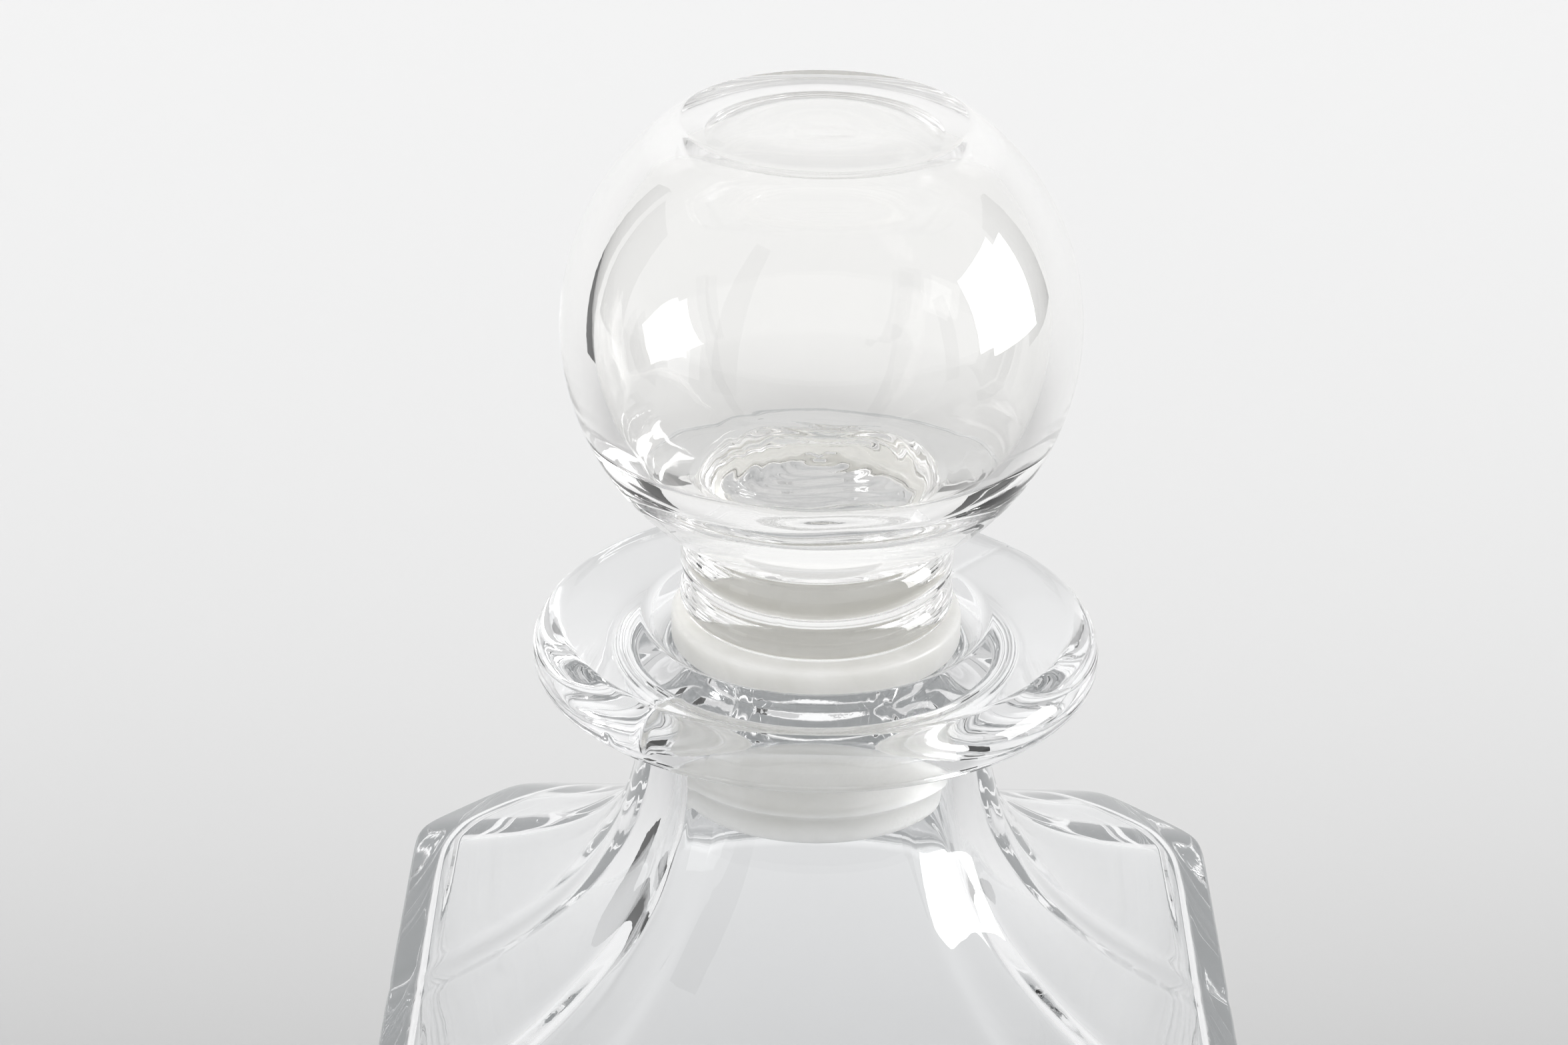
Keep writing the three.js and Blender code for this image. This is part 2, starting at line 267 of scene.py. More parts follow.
def ring_angles():
    """Angles round the bottle, closest together at each cut corner's two edges and its middle."""
    edge = math.degrees(math.atan2(HALF_WIDTH - CORNER_CUT, HALF_WIDTH))
    near = 4  # degrees to each side of an edge
    middle = 44.2
    octant = np.concatenate([
        np.linspace(0, edge - near, 14, endpoint=False),
        np.linspace(edge - near, edge + near, 18, endpoint=False),
        np.linspace(edge + near, middle, 4, endpoint=False),
        np.linspace(middle, 45, 4, endpoint=False),
    ])
    quarter = np.concatenate([octant, 90 - np.append(octant[1:], 45)[::-1]])
    return np.radians(np.concatenate([quarter + 90 * k for k in range(4)]))


def round_angles(count):
    return np.linspace(0, 2 * math.pi, count, endpoint=False)


# ---------------------------------------------------------------- skins
def loft(stations, angles, shift):
    """Points in metres and faces of a closed skin over rings. A station is (radius, height,
    squareness, corner share, crispness), and the first and last are points on the axis. shift moves
    the rings' points, in millimetres."""
    rows = []
    for r, z, square, corner, crisp in stations[1:-1]:
        reach = r * (1 + square * (square_reach(angles, corner, crisp) - 1))
        rows.append(np.stack([reach * np.cos(angles), reach * np.sin(angles), z + 0 * angles], -1))
    grid = shift(np.array(rows))
    count, rings = len(angles), len(rows)
    poles = np.array([[0, 0, stations[0][1]], [0, 0, stations[-1][1]]])
    points = np.concatenate([poles[:1], grid.reshape(-1, 3), poles[1:]]) * MM
    last = len(points) - 1
    faces = []
    for i in range(count):
        j = (i + 1) % count
        faces.append((0, 1 + j, 1 + i))
        faces.append((last, 1 + (rings - 1) * count + i, 1 + (rings - 1) * count + j))
        for ring in range(rings - 1):
            a, b = 1 + ring * count, 1 + (ring + 1) * count
            faces.append((a + i, a + j, b + j, b + i))
    return points.tolist(), faces


def turned_ring(profile, count):
    """Points in metres and faces of a closed profile of (radius, height above the lip), turned."""
    size = len(profile)
    points = [(r * math.cos(a) * MM, r * math.sin(a) * MM, (LIP_TOP + z) * MM)
              for a in round_angles(count) for r, z in profile]
    faces = []
    for i in range(count):
        j = (i + 1) % count
        for k in range(size):
            m = (k + 1) % size
            faces.append((i * size + k, j * size + k, j * size + m, i * size + m))
    return points, faces


def add_object(name, data):
    made = bpy.data.objects.new(name, data)
    bpy.context.scene.collection.objects.link(made)
    return made


def add_mesh(name, points, faces):
    mesh = bpy.data.meshes.new(name)
    mesh.from_pydata(points, [], faces)
    mesh.update()
    mesh.shade_smooth()
    return add_object(name, mesh)


def waves(grid, size, seed):
    """Smooth noise for each point, about -1 to 1, with features of about size millimetres."""
    offset = Vector((seed * 17.3, seed * 5.1, seed * 9.7))
    flat = grid.reshape(-1, 3) / size
    return np.array([noise.noise(Vector(p) + offset) for p in flat]).reshape(grid.shape[:-1])


def normals(grid):
    """Unit normals of a grid of rings: away from the axis where the rings follow each other
    upwards, and towards it where they follow each other down."""
    along = np.roll(grid, -1, axis=1) - np.roll(grid, 1, axis=1)
    up = np.gradient(grid, axis=0)
    n = np.cross(along, up)
    return n / np.maximum(np.linalg.norm(n, axis=-1, keepdims=True), 1e-9)


# ---------------------------------------------------------------- bottle
def body_corner(inset):
    """The cut corner's reach over the flat's, for the body's outline set in by inset."""
    return ((2 * HALF_WIDTH - CORNER_CUT) / math.sqrt(2) - inset) / (HALF_WIDTH - inset)


def level(points, squareness):
    return [(r, z, squareness) for r, z in points]


def outlined(rings, inset, crispness):
    """Stations for loft, from rings of (radius, height, squareness)."""
    return [(*ring, body_corner(inset), crispness) for ring in rings]


def shoulder_line():
    """The flat's own rise from the brink to the neck, as (reach, height, squareness)."""
    slope = math.radians(SHOULDER_SLOPE)
    start = (HALF_WIDTH - EDGE_LENGTH * math.cos(slope), BODY_HEIGHT + EDGE_LENGTH * math.sin(slope))
    flare = bezier(
        [
            start,
            (start[0] - SHOULDER_PULL * math.cos(slope), start[1] + SHOULDER_PULL * math.sin(slope)),
            (NECK_RADIUS + NECK_PULL_LEAN, BODY_HEIGHT + NECK_PULL_HEIGHT),
            (NECK_RADIUS, BODY_HEIGHT + NECK_START),
        ],
        56,
    )
    last = len(flare) - 1
    return [(r, z, 1 - float(smoothstep(i / last, 0, 1))) for i, (r, z) in enumerate(flare)]


def bottle_outside():
    """Stations of the outer skin, from the middle of the base up to the lip's belly."""
    recess = [
        *[(r, RECESS_DEPTH) for r in np.linspace(2, RECESS_FLAT, 12)],
        *bezier([(RECESS_FLAT, RECESS_DEPTH), (RECESS_FLAT + RECESS_PULL, RECESS_DEPTH),
                 (RECESS_EDGE - RECESS_PULL, 0), (RECESS_EDGE, 0)], 10),
    ]
    foot = arc((HALF_WIDTH - FOOT_RADIUS, FOOT_RADIUS), FOOT_RADIUS, -90, 0, 10)
    brink_centre = (HALF_WIDTH - EDGE_RADIUS, BODY_HEIGHT - EDGE_LENGTH)
    brink = arc(brink_centre, EDGE_RADIUS, 0, 90 - SHOULDER_SLOPE, 10)
    sides = [
        *line((RECESS_EDGE, 0), foot[0], 4)[:-1],
        *foot,
        *line(foot[-1], (HALF_WIDTH, brink[0][1]), 30)[:-1],
        *brink,
    ]
    lip_bottom = LIP_TOP - LIP_DEPTH
    neck_top = (NECK_RADIUS, lip_bottom - FILLET_HEIGHT)
    fillet_end = (NECK_RADIUS + FILLET_WIDTH, lip_bottom - FILLET_DROP)
    roll_start = (LIP_RADIUS - LIP_ROLL, lip_bottom)
    belly = (LIP_RADIUS, LIP_TOP - LIP_BELLY)
    neck = [
        *line((NECK_RADIUS, BODY_HEIGHT + NECK_START), neck_top, 3),
        *bezier([neck_top, (NECK_RADIUS, lip_bottom - FILLET_PULL), fillet_end], 12),
        *line(fillet_end, roll_start, 5),
        *bezier([roll_start, (LIP_RADIUS, lip_bottom + LIP_ROLL_PULL), belly], 12),
    ]
    rings = [
        (0, RECESS_DEPTH, 0),
        *level(recess, 0),
        *level(sides, 1),
        *shoulder_line()[1:],
        *level(neck, 0),
    ]
    return outlined(rings, 0, CRISP_OUTSIDE)


def cavity_shoulder():
    """The shoulder's line again, one wall inside it, from the bore down to the cavity's brink."""
    outer = shoulder_line()
    half = HALF_WIDTH - WALL
    outer_corner, corner = body_corner(0) - 1, body_corner(WALL) - 1
    made = []
    for i, (r, z, square) in enumerate(outer):
        before, after = outer[max(i - 1, 0)], outer[min(i + 1, len(outer) - 1)]
        along = np.array([after[0] - before[0], after[1] - before[1]])
        along /= np.hypot(*along)
        reach, height = r - WALL * along[1], z + WALL * along[0]
        diagonal = r * (1 + square * outer_corner) - (r - reach)
        inner_square = (diagonal / reach - 1) / corner
        if reach < half - BRINK_ROUND:
            made.append((reach, height, inner_square))
    return made[::-1]


def bottle_inside():
    """Stations of the inner skin, from above the lip's belly down to the middle of the floor."""
    half = HALF_WIDTH - WALL
    seat = LIP_TOP - SEAT_DEPTH
    face_end = (LIP_FACE_RADIUS, LIP_TOP)
    face_land = (LIP_FACE_RADIUS - LIP_FACE_LAND, LIP_TOP)
    mouth_edge = (MOUTH_RADIUS + MOUTH_ROUND, LIP_TOP)
    mouth_side = (MOUTH_RADIUS - MOUTH_TAPER, LIP_TOP - MOUTH_DROP)
    seat_start = (SEAT_RADIUS - SEAT_ROUND, seat)
    seat_end = (BORE_RADIUS + BORE_ROUND, seat)
    bore_top = (BORE_RADIUS, seat - BORE_ROUND)
    shoulder = cavity_shoulder()
    mouth = [
        *bezier([(LIP_RADIUS, LIP_TOP - LIP_BELLY), (LIP_RADIUS, LIP_TOP - LIP_TURN), face_end], 14),
        *line(face_end, face_land, 2),
        *line(face_land, mouth_edge, 6),
        *bezier([mouth_edge, (MOUTH_RADIUS, LIP_TOP), mouth_side], 6),
        *bezier([mouth_side, (SEAT_RADIUS, seat + SEAT_PULL), seat_start], 7),
        *line(seat_start, seat_end, 2),
        *bezier([seat_end, (BORE_RADIUS, seat), bore_top], 4),
        *line(bore_top, (BORE_RADIUS, shoulder[0][1]), 8)[:-1],
    ]
    low_r, low_z, low_square = shoulder[-1]
    fall = math.tan(math.radians(SHOULDER_SLOPE)) * (half - low_r)
    brink = bezier([(low_r, low_z), (half, low_z - fall), (half, low_z - fall - BRINK_ROUND)], 16)
    floor_centre = (half - CAVITY_FLOOR_RADIUS, BASE_THICKNESS + CAVITY_FLOOR_RADIUS)
    floor = arc(floor_centre, CAVITY_FLOOR_RADIUS, 0, -90, 16)
    walls = [
        *line(brink[-1], floor[0], 30)[:-1],
        *floor,
        *line(floor[-1], (1.5, BASE_THICKNESS), 16),
    ]
    rings = [
        *level(mouth, 0),
        *shoulder,
        *[(r, z, low_square + (1 - low_square) * float(smoothstep(i, 0, BRINK_RINGS)))
          for i, (r, z) in enumerate(brink, 1)],
        *level(walls, 1),
        (0, BASE_THICKNESS, 0),
    ]
    return outlined(rings, WALL, CRISP_INSIDE)


def shoulder_rows(outside, inside):
    """Rows of the cavity's shoulder in the bottle's grid, and the outer rows that they follow."""
    outer, inner = shoulder_line(), cavity_shoulder()
    outer_first = outside.index(next(s for s in outside if s[:3] == outer[1])) - 2
    inner_first = len(outside) - 1 + inside.index(next(s for s in inside if s[:3] == inner[0]))
    count = len(inner)
    outer_rows = [outer_first + len(outer) - 1 - i for i in range(count)]
    return [inner_first + i for i in range(count)], outer_rows


def bottle_shift(outer_rings, inner_rows, outer_rows):
    """Makes the cavity's shoulder parallel to the outer one, and the glass uneven as moulded glass
    is: faint waves, ripples in the cavity's sides, the line where the mould's halves met, down the
    middle of the left and right sides, and a fine line in the neck. The last two numbers of each
    smoothstep are the millimetres between which that effect fades in."""
    def shift(grid):
        grid[inner_rows] = (grid - WALL * normals(grid))[outer_rows]
        inside = (np.arange(len(grid)) >= outer_rings)[:, None].astype(float)
        x, y, z = grid[..., 0], grid[..., 1], grid[..., 2]
        cavity = inside * smoothstep(LIP_TOP - 22 - z, 0, 12)
        # the outside's waves only go inwards, so that no point passes the CAD's faces
        push = (1 - inside) * WAVE_OUTSIDE * (waves(grid, size=21, seed=1) - 1) * smoothstep(z, 4, 20)
        slow, fine = waves(grid, size=26, seed=2), waves(grid, size=8, seed=3)
        push += cavity * (WAVE_INSIDE * slow + WAVE_FINE * fine)
        side_walls = cavity * smoothstep(np.abs(x), 37, 39) * smoothstep(BODY_HEIGHT - 5 - z, 0, 8)
        push += side_walls * SIDE_RIPPLE * waves(grid * (1, 1, 0.5), size=6, seed=4)
        left_right = smoothstep(np.abs(x), 12, 18)
        below_lip = smoothstep(LIP_TOP - LIP_DEPTH - 4 - z, 0, 6) * smoothstep(z, 3, 12)
        push -= below_lip * left_right * (1 - inside) * SEAM_DIP * ridge(y, SEAM_WIDTH)
        push += cavity * left_right * SEAM_RISE_INSIDE * ridge(y, SEAM_WIDTH_INSIDE)
        neck = smoothstep(z, BODY_HEIGHT + 9, BODY_HEIGHT + 15) * smoothstep(LIP_TOP - 1 - z, 0, 1)
        aside = (x - y) / math.sqrt(2) + NECK_LINE_SWAY * waves(grid, size=3, seed=9)
        push -= (1 - inside) * neck * NECK_LINE_DEPTH * ridge(aside, NECK_LINE_WIDTH)
        return grid + normals(grid) * push[..., None]
    return shift


def make_bottle():
    outside, inside = bottle_outside(), bottle_inside()
    shift = bottle_shift(len(outside) - 1, *shoulder_rows(outside, inside))
    return add_mesh("bottle_glass_body", *loft(outside + inside, ring_angles(), shift))


# ---------------------------------------------------------------- gasket
def make_gasket():
    flange_bottom = FLANGE_TOP - FLANGE_THICKNESS
    fins = []
    for i in range(FIN_COUNT):
        middle = SLEEVE_BOTTOM + FIN_START + FIN_PITCH * i
        foot = (SLEEVE_RADIUS, middle - FIN_HEIGHT / 2)
        edge_low, edge_high = ((FIN_RADIUS, middle + FIN_HEIGHT * share) for share in FIN_EDGE)
        head = (SLEEVE_RADIUS, middle + FIN_HEIGHT / 2)
        fins += [foot, *line(foot, edge_high, 3)[:-1], edge_low, edge_high, head]
    inner_top = (SLEEVE_INNER_RADIUS, FLANGE_TOP - GASKET_ROUND)
    inner_bottom = (SLEEVE_INNER_RADIUS, SLEEVE_BOTTOM + GASKET_ROUND)
    fillet_start = (SLEEVE_RADIUS, flange_bottom - GASKET_FILLET)
    rim_low = (FLANGE_RADIUS, flange_bottom + GASKET_ROUND)
    rim_high = (FLANGE_RADIUS, FLANGE_TOP - FLANGE_ROUND)
    profile = [
        inner_bottom,
        *bezier([inner_bottom, (SLEEVE_INNER_RADIUS, SLEEVE_BOTTOM),
                 (SLEEVE_INNER_RADIUS + LEAD_INNER_WIDTH, SLEEVE_BOTTOM)], 4),
        *bezier([(SLEEVE_RADIUS - LEAD_WIDTH, SLEEVE_BOTTOM), (SLEEVE_RADIUS - LEAD_PULL, SLEEVE_BOTTOM),
                 (SLEEVE_RADIUS, SLEEVE_BOTTOM + LEAD_HEIGHT)], 5),
        *fins,
        fillet_start,
        *bezier([fillet_start, (SLEEVE_RADIUS, flange_bottom),
                 (SLEEVE_RADIUS + GASKET_FILLET, flange_bottom)], 4),
        *bezier([(FLANGE_RADIUS - GASKET_ROUND, flange_bottom), (FLANGE_RADIUS, flange_bottom),
                 rim_low], 5),
        *line(rim_low, rim_high, 3),
        *bezier([rim_high, (FLANGE_RADIUS, FLANGE_TOP), (FLANGE_RADIUS - FLANGE_ROUND, FLANGE_TOP)], 6),
        *bezier([(SLEEVE_INNER_RADIUS + GASKET_ROUND, FLANGE_TOP), (SLEEVE_INNER_RADIUS, FLANGE_TOP),
                 inner_top], 4),
        *line(inner_top, inner_bottom, 6)[:-1],
    ]
    return add_mesh("gasket_flanged_sleeve", *turned_ring(profile, 160))


# ---------------------------------------------------------------- stopper
def bead(top, bottom):
    """One rounded ring of the stopper, from its upper groove to its lower one."""
    pull_radius = BEAD_RADIUS + BEAD_PULL
    pull_height = BEAD_SQUARE * (top - bottom)
    return bezier(
        [
            (GROOVE_RADIUS, top),
            (pull_radius, top - pull_height),
            (pull_radius, bottom + pull_height),
            (GROOVE_RADIUS, bottom),
        ],
        14,
    )


def stopper_outside():
    """The stopper's outer line, from the middle of the flat down to the middle of the shank's end."""
    flat_top = BALL_CENTRE + BALL_FLAT
    flat_radius = math.sqrt(BALL_RADIUS**2 - BALL_FLAT**2)
    flat = [(r, flat_top) for r in np.linspace(1, flat_radius - FLAT_EDGE, 10)]
    ball_start = angle_at(BALL_FLAT, BALL_RADIUS) - FLAT_EDGE_TURN
    ball_end = angle_at(BEADS_TOP + BALL_END - BALL_CENTRE, BALL_RADIUS)
    ball = arc((0, BALL_CENTRE), BALL_RADIUS, ball_start, ball_end, 80)
    split = BEADS_BOTTOM + LOW_BEAD_SHARE * (BEADS_TOP - BEADS_BOTTOM)
    shank_top = (SHANK_RADIUS, BEADS_BOTTOM)
    foot = (SHANK_RADIUS, SHANK_BOTTOM + SHANK_ROUND_HEIGHT)
    foot_end = (SHANK_RADIUS - SHANK_ROUND, SHANK_BOTTOM)
    return [
        (0, flat_top),
        *flat,
        *bezier([flat[-1], (flat_radius, flat_top), ball[0]], 5)[:-1],
        *ball,
        *bezier([ball[-1], (GROOVE_RADIUS, BEADS_TOP + GROOVE_ROUND), (GROOVE_RADIUS, BEADS_TOP)], 4),
        *bead(BEADS_TOP, split),
        *bead(split, BEADS_BOTTOM),
        *line((GROOVE_RADIUS, BEADS_BOTTOM), shank_top, 3),
        *line(shank_top, foot, 10),
        *bezier([foot, (SHANK_RADIUS, SHANK_BOTTOM), foot_end], 5),
        *line(foot_end, (1, SHANK_BOTTOM), 6),
        (0, SHANK_BOTTOM),
    ]


def stopper_inside():
    """The sealed hollow's line, from the middle of its floor up to the middle of its lid."""
    hollow = BALL_RADIUS - BALL_WALL
    lid = BALL_CENTRE + HOLLOW_FLAT
    lid_radius = math.sqrt(hollow**2 - HOLLOW_FLAT**2)
    lid_flat = (lid_radius - LID_ROUND, lid)
    bubble_end = angle_at(HOLLOW_FLAT, hollow) - math.degrees(LID_ROUND / hollow)
    bubble = arc((0, BALL_CENTRE), hollow, FLOOR_START, bubble_end, 70)
    dimple = [(r, lid - DIMPLE_DEPTH * (0.5 + 0.5 * math.cos(math.pi * r / DIMPLE_RADIUS)))
              for r in np.linspace(DIMPLE_RADIUS, 0, 16)]
    return [
        *[(r, FLOOR_HEIGHT) for r in np.linspace(0, FLOOR_RADIUS, 24)],
        *bezier([(FLOOR_RADIUS, FLOOR_HEIGHT), (BASIN_RADIUS, FLOOR_HEIGHT + BASIN_RISE), bubble[0]], 24),
        *bubble[1:],
        *bezier([bubble[-1], (lid_radius, lid), lid_flat], 8),
        *line(lid_flat, dimple[0], 6),
        *dimple[1:],
    ]


def outside_shift(grid):
    """Cuts the mould's fine line into the two beads, a little left of the front."""
    x, y, z = grid[..., 0], grid[..., 1], grid[..., 2] - LIP_TOP
    aside = (np.arctan2(y, x) + BEAD_LINE_TURN) * BEAD_RADIUS
    beads = smoothstep(z, 1, 2) * smoothstep(BEADS_TOP - z, 0, 1)
    push = beads * BEAD_LINE_DEPTH * ridge(aside, BEAD_LINE_WIDTH)
    return grid + normals(grid) * push[..., None]


def inside_shift(grid):
    """The hollow was blown and its floor set last, so the floor is rippled in steps like a map, along
    contours that are nearly rectangles."""
    x, y, z = grid[..., 0], grid[..., 1], grid[..., 2] - LIP_TOP
    low = smoothstep(FLOOR_HEIGHT + 9 - z, 0, 8)  # 1 on the floor, 0 from 9 mm above it
    swirl = waves(grid, size=9, seed=6)
    across = np.abs(x / CONTOUR_WIDTH) ** CONTOUR_SQUARE
    along = np.abs((y - CONTOUR_CENTRE) / CONTOUR_LENGTH) ** CONTOUR_SQUARE
    rectangle = (across + along) ** (1 / CONTOUR_SQUARE)
    contour = CONTOUR_LEVEL * rectangle + CONTOUR_SWAY * swirl
    steps = np.sin(2 * math.pi * contour / FLOOR_STEP_PITCH) * smoothstep(CONTOUR_END - contour, 0, 3)
    push = HOLLOW_WAVE * waves(grid, size=16, seed=5) + low * (FLOOR_SWELL * swirl + FLOOR_STEP * steps)
    return grid + normals(grid) * push[..., None]


def make_stopper():
    """The outer skin and the skin of the sealed hollow, in one mesh."""
    points, faces = [], []
    for profile, shift in ((stopper_outside(), outside_shift), (stopper_inside(), inside_shift)):
        stations = [(r, LIP_TOP + z, 0, 1, 1) for r, z in profile]
        skin_points, skin_faces = loft(stations, round_angles(224), shift)
        start = len(points)
        points += skin_points
        # turned over: the outer line runs down, and the hollow's skin faces the hollow
        for first, *others in skin_faces:
            faces.append((start + first, *[start + corner for corner in reversed(others)]))
    return add_mesh("stopper_glass_ball", points, faces)


# ---------------------------------------------------------------- materials
def material(name):
    """A new material and its shader."""
    made = bpy.data.materials.new(name)
    made.use_nodes = True
    return made, made.node_tree.nodes["Principled BSDF"]


def set_inputs(node, values):
    for socket, value in values.items():
        node.inputs[socket].default_value = value


def texture_place(tree):
    """The object's own coordinates."""
    return tree.nodes.new("ShaderNodeTexCoord").outputs["Object"]


def noise_node(tree, place, scale, detail, distortion=0.0):
    """Noise with about scale features to the metre; returns its value."""
    made = tree.nodes.new("ShaderNodeTexNoise")
    set_inputs(made, {"Scale": scale, "Detail": detail, "Distortion": distortion})
    tree.links.new(place, made.inputs["Vector"])
    return made.outputs["Fac"]


def add_bump(tree, height, distance, below=None):
    """A bump node over the one below it; returns its normal."""
    made = tree.nodes.new("ShaderNodeBump")
    set_inputs(made, {"Strength": 1, "Distance": distance})
    tree.links.new(height, made.inputs["Height"])
    if below:
        tree.links.new(below, made.inputs["Normal"])
    return made.outputs["Normal"]


def math_node(tree, operation, value, *others):
    made = tree.nodes.new("ShaderNodeMath")
    made.operation = operation
    tree.links.new(value, made.inputs[0])
    for socket, other in zip(made.inputs[1:], others):
        socket.default_value = other
    return made.outputs["Value"]


def glass_material(name, tint, swell):
    """Clear moulded glass with a slow swell and a fine fire-polished skin."""
    made, shader = material(name)
    tree = made.node_tree
    place = texture_place(tree)
    slow = add_bump(tree, noise_node(tree, place, scale=55, detail=1, distortion=0.4), swell)
    fine = add_bump(tree, noise_node(tree, place, scale=420, detail=3), GLASS_SKIN, slow)
    tree.links.new(fine, shader.inputs["Normal"])
    set_inputs(shader, {
        "Base Color": (*tint, 1),
        "Roughness": 0.0,
        "IOR": GLASS_INDEX,
        "Transmission Weight": 1,
    })
    return made


def plastic_material():
    """Milky soft plastic, a little cloudy and finely grained."""
    made, shader = material("milky_plastic")
    tree = made.node_tree
    place = texture_place(tree)
    cloud = tree.nodes.new("ShaderNodeValToRGB")
    for element, (position, colour) in zip(cloud.color_ramp.elements, PLASTIC_CLOUD.items()):
        element.position = position
        element.color = colour
    clouds = noise_node(tree, place, scale=190, detail=3, distortion=0.6)
    tree.links.new(clouds, cloud.inputs["Fac"])
    tree.links.new(cloud.outputs["Color"], shader.inputs["Base Color"])
    polish = tree.nodes.new("ShaderNodeMapRange")
    set_inputs(polish, {"To Min": PLASTIC_POLISH[0], "To Max": PLASTIC_POLISH[1]})
    tree.links.new(noise_node(tree, place, scale=520, detail=2), polish.inputs["Value"])
    tree.links.new(polish.outputs["Result"], shader.inputs["Roughness"])
    grain = add_bump(tree, noise_node(tree, place, scale=1600, detail=2), PLASTIC_GRAIN)
    tree.links.new(grain, shader.inputs["Normal"])
    set_inputs(shader, {
        "Subsurface Weight": 1,
        "Subsurface Radius": (1, 1, 1),
        "Subsurface Scale": 0.004,
    })
    return made


def dress(piece, made, body, node):
    piece.data.materials.append(made)
    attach(piece, body)
    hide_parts(node)


# ---------------------------------------------------------------- studio
def make_camera():
    """The photograph's view: a 90 mm lens in front, looking 25.5 degrees down at the lip."""
    tilt = math.radians(25.48)
    roll = math.radians(0.82)
    distance, aside, above = 395.4, -3.4, 10.2  # from a point near the middle of the lip's top
    forward = Vector((0, math.cos(tilt), -math.sin(tilt)))
    up = Vector((0, math.sin(tilt), math.cos(tilt)))
    right = Vector((1, 0, 0))
    x_axis = math.cos(roll) * right + math.sin(roll) * up
    y_axis = -math.sin(roll) * right + math.cos(roll) * up
    height = LIP_TOP + above + distance * math.sin(tilt)
    place = Vector((aside, -distance * math.cos(tilt), height)) * MM
    turned = Matrix((x_axis, y_axis, -forward)).transposed().to_4x4()
    data = bpy.data.cameras.new("camera")
    data.sensor_width = 36
    data.lens = 90.05
    data.clip_start = 0.01
    data.clip_end = 50
    made = add_object("camera", data)
    made.matrix_world = Matrix.Translation(place) @ turned
    bpy.context.scene.camera = made


def make_stage():
    """A pale sweep: floor in front, rising in a wide curve behind. Its paper is coloured darker round
    the object than behind it, as painted shade."""
    bend = SWEEP_BACK - SWEEP_RADIUS
    outline = [
        (SWEEP_FRONT, 0),
        (bend, 0),
        *[(bend + SWEEP_RADIUS * math.sin(a), SWEEP_RADIUS - SWEEP_RADIUS * math.cos(a))
          for a in np.radians(np.linspace(0, 90, 32))[1:]],
        (SWEEP_BACK, SWEEP_TOP),
    ]
    points = [(side * SWEEP_WIDTH / 2, y, z) for y, z in outline for side in (-1, 1)]
    faces = [(2 * i, 2 * i + 1, 2 * i + 3, 2 * i + 2) for i in range(len(outline) - 1)]
    sweep = add_mesh("sweep", points, faces)
    paper, shader = material("sweep_paper_painted_shade")
    tree = paper.node_tree
    split = tree.nodes.new("ShaderNodeSeparateXYZ")
    tree.links.new(texture_place(tree), split.inputs["Vector"])
    # painted shade: the paper's colour drops from the far value to the near one round the object,
    # standing in for less light falling there
    fall = math_node(tree, "MULTIPLY_ADD", split.outputs["Y"], -1 / PAPER_SHADE_FADE, PAPER_SHADE_START / PAPER_SHADE_FADE)
    near = math_node(tree, "EXPONENT", fall)
    painted_shade = math_node(tree, "MULTIPLY_ADD", near, SHADED_PAPER_FRONT - UNSHADED_PAPER_BACK, UNSHADED_PAPER_BACK)
    tree.links.new(math_node(tree, "MAXIMUM", painted_shade, SHADED_PAPER_FRONT), shader.inputs["Base Color"])
    set_inputs(shader, {"Roughness": 0.8, "Specular IOR Level": 0.1})
    sweep.data.materials.append(paper)


def area_light(name, direction, distance, size, power, target=AIM, seen=True, diffuse=True):
    """A soft light aimed at the target. seen: the glass mirrors it. diffuse: it lights matt things."""
    data = bpy.data.lights.new(name, "AREA")
    data.shape = "RECTANGLE"
    data.size, data.size_y = size
    data.energy = power
    made = add_object(name, data)
    place = Vector(target) + Vector(direction).normalized() * distance
    made.location = place
    made.rotation_mode = "QUATERNION"
    made.rotation_quaternion = (Vector(target) - place).to_track_quat("-Z", "Y")
    made.visible_camera = False
    made.visible_glossy = made.visible_transmission = seen
    made.visible_diffuse = diffuse


def make_world():
    world = bpy.data.worlds.new("studio")
    world.use_nodes = True
    set_inputs(world.node_tree.nodes["Background"], {"Color": (1, 1, 1, 1), "Strength": 1.0})
    bpy.context.scene.world = world


def make_card(name, azimuth, distance, size, height):
    """A black card that only shows in what the glass bends. Azimuth is seen from the object, in
    degrees to the right of the camera, and height is that of the card's middle."""
    a = math.radians(azimuth)
    away = Vector((math.sin(a), -math.cos(a), 0))
    side = Vector((math.cos(a), math.sin(a), 0))
    middle = away * distance + Vector((0, 0, height))
    corners = [middle + side * (u * size[0] / 2) + Vector((0, 0, v * size[1] / 2))
               for u, v in ((-1, -1), (1, -1), (1, 1), (-1, 1))]
    card = add_mesh(name, corners, [(0, 1, 2, 3)])
    black, shader = material(name)
    set_inputs(shader, {"Base Color": (0.01, 0.01, 0.01, 1), "Roughness": 0.9})
    card.data.materials.append(black)
    card.visible_camera = card.visible_diffuse = card.visible_shadow = card.visible_glossy = False


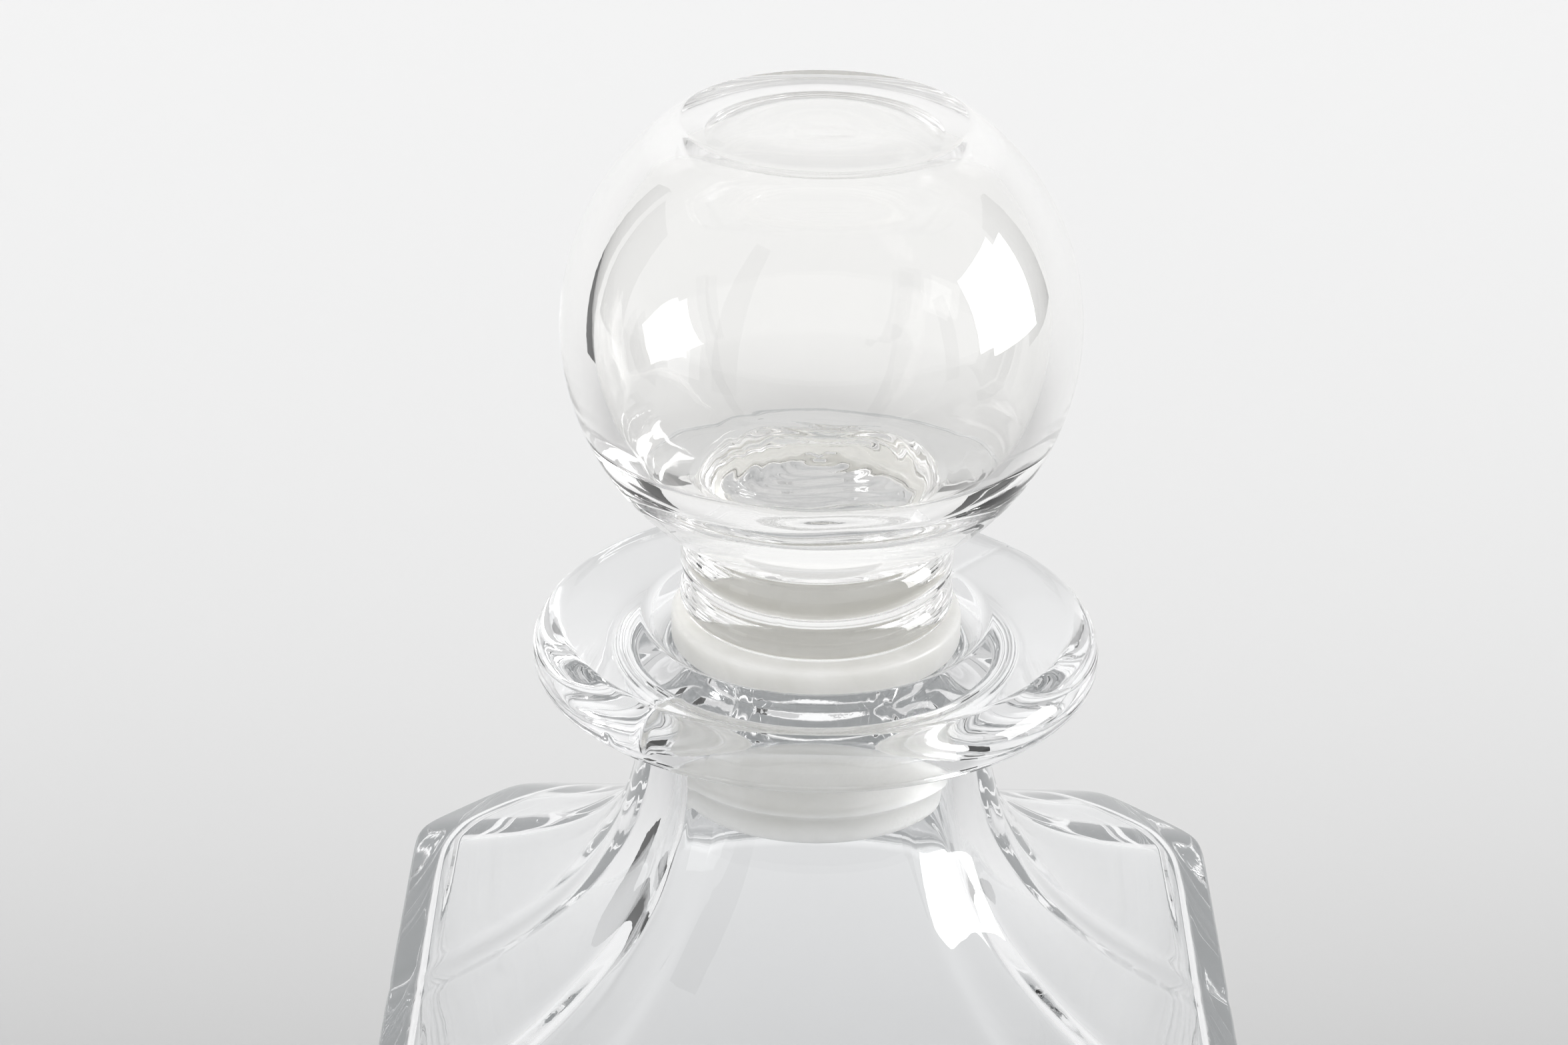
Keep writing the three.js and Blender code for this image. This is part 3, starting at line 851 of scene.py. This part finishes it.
def make_glow():
    """The light that a clear base gathers on the table under it, which path tracing can't find. Only
    the glass sees it."""
    corners = [(u * GLOW_HALF, v * GLOW_HALF, GLOW_GAP) for u, v in ((-1, -1), (1, -1), (1, 1), (-1, 1))]
    glow = add_mesh("glow", corners, [(0, 1, 2, 3)])
    made, shader = material("glow")
    set_inputs(shader, {
        "Base Color": (0, 0, 0, 1),
        "Emission Color": (0.94, 0.98, 1, 1),
        "Emission Strength": GLOW,
    })
    glow.data.materials.append(made)
    glow.visible_camera = glow.visible_diffuse = glow.visible_shadow = False


def make_lights():
    """Two windows, a light over the paper behind, and black cards that draw the glass's dark lines."""
    make_glow()
    area_light("window_right", direction=(0.983, 0.02, 0.18), distance=0.9, size=(0.45, 0.48),
               power=6, diffuse=False)
    area_light("window_left", direction=(-0.91, -0.415, -0.05), distance=1.0, size=(0.3, 0.28),
               power=0.3)
    area_light("overhead", direction=(0, 0, 1), distance=1.0, size=(1.2, 0.8), power=2,
               target=(0, 0.85, 0), seen=False)
    make_card("card_left", azimuth=-45, distance=0.8, size=(0.17, 1.4), height=0.5)
    make_card("card_right", azimuth=62, distance=0.8, size=(0.1, 0.5), height=0.3)
    make_card("card_far_left", azimuth=-112, distance=0.9, size=(0.3, 0.7), height=0.3)
    make_card("card_near_left", azimuth=-128, distance=0.5, size=(0.07, 1.0), height=0)
    make_card("card_far_right", azimuth=118, distance=0.9, size=(0.3, 0.7), height=0.3)


def let_glass_carry_light():
    """Enough bounces for light that is mirrored many times inside the walls to come out again."""
    cycles = bpy.context.scene.cycles
    cycles.max_bounces = BOUNCES
    cycles.glossy_bounces = BOUNCES
    cycles.transmission_bounces = BOUNCES
    cycles.diffuse_bounces = BOUNCES
    cycles.caustics_reflective = True
    cycles.caustics_refractive = True
    cycles.blur_glossy = 0


make_camera()
let_glass_carry_light()
make_world()
make_stage()
make_lights()
bottle = make_bottle()
gasket = make_gasket()
stopper = make_stopper()
bottle_glass = glass_material("bottle_glass", BOTTLE_TINT, BOTTLE_SWELL)
milky_plastic = plastic_material()
stopper_glass = glass_material("stopper_glass", STOPPER_TINT, STOPPER_SWELL)
dress(bottle, bottle_glass, "bottle", "bottle")
dress(gasket, milky_plastic, "gasket", "gasket")
dress(stopper, stopper_glass, "stopper", "stopper")

bpy.context.scene.view_settings.view_transform = "Standard"
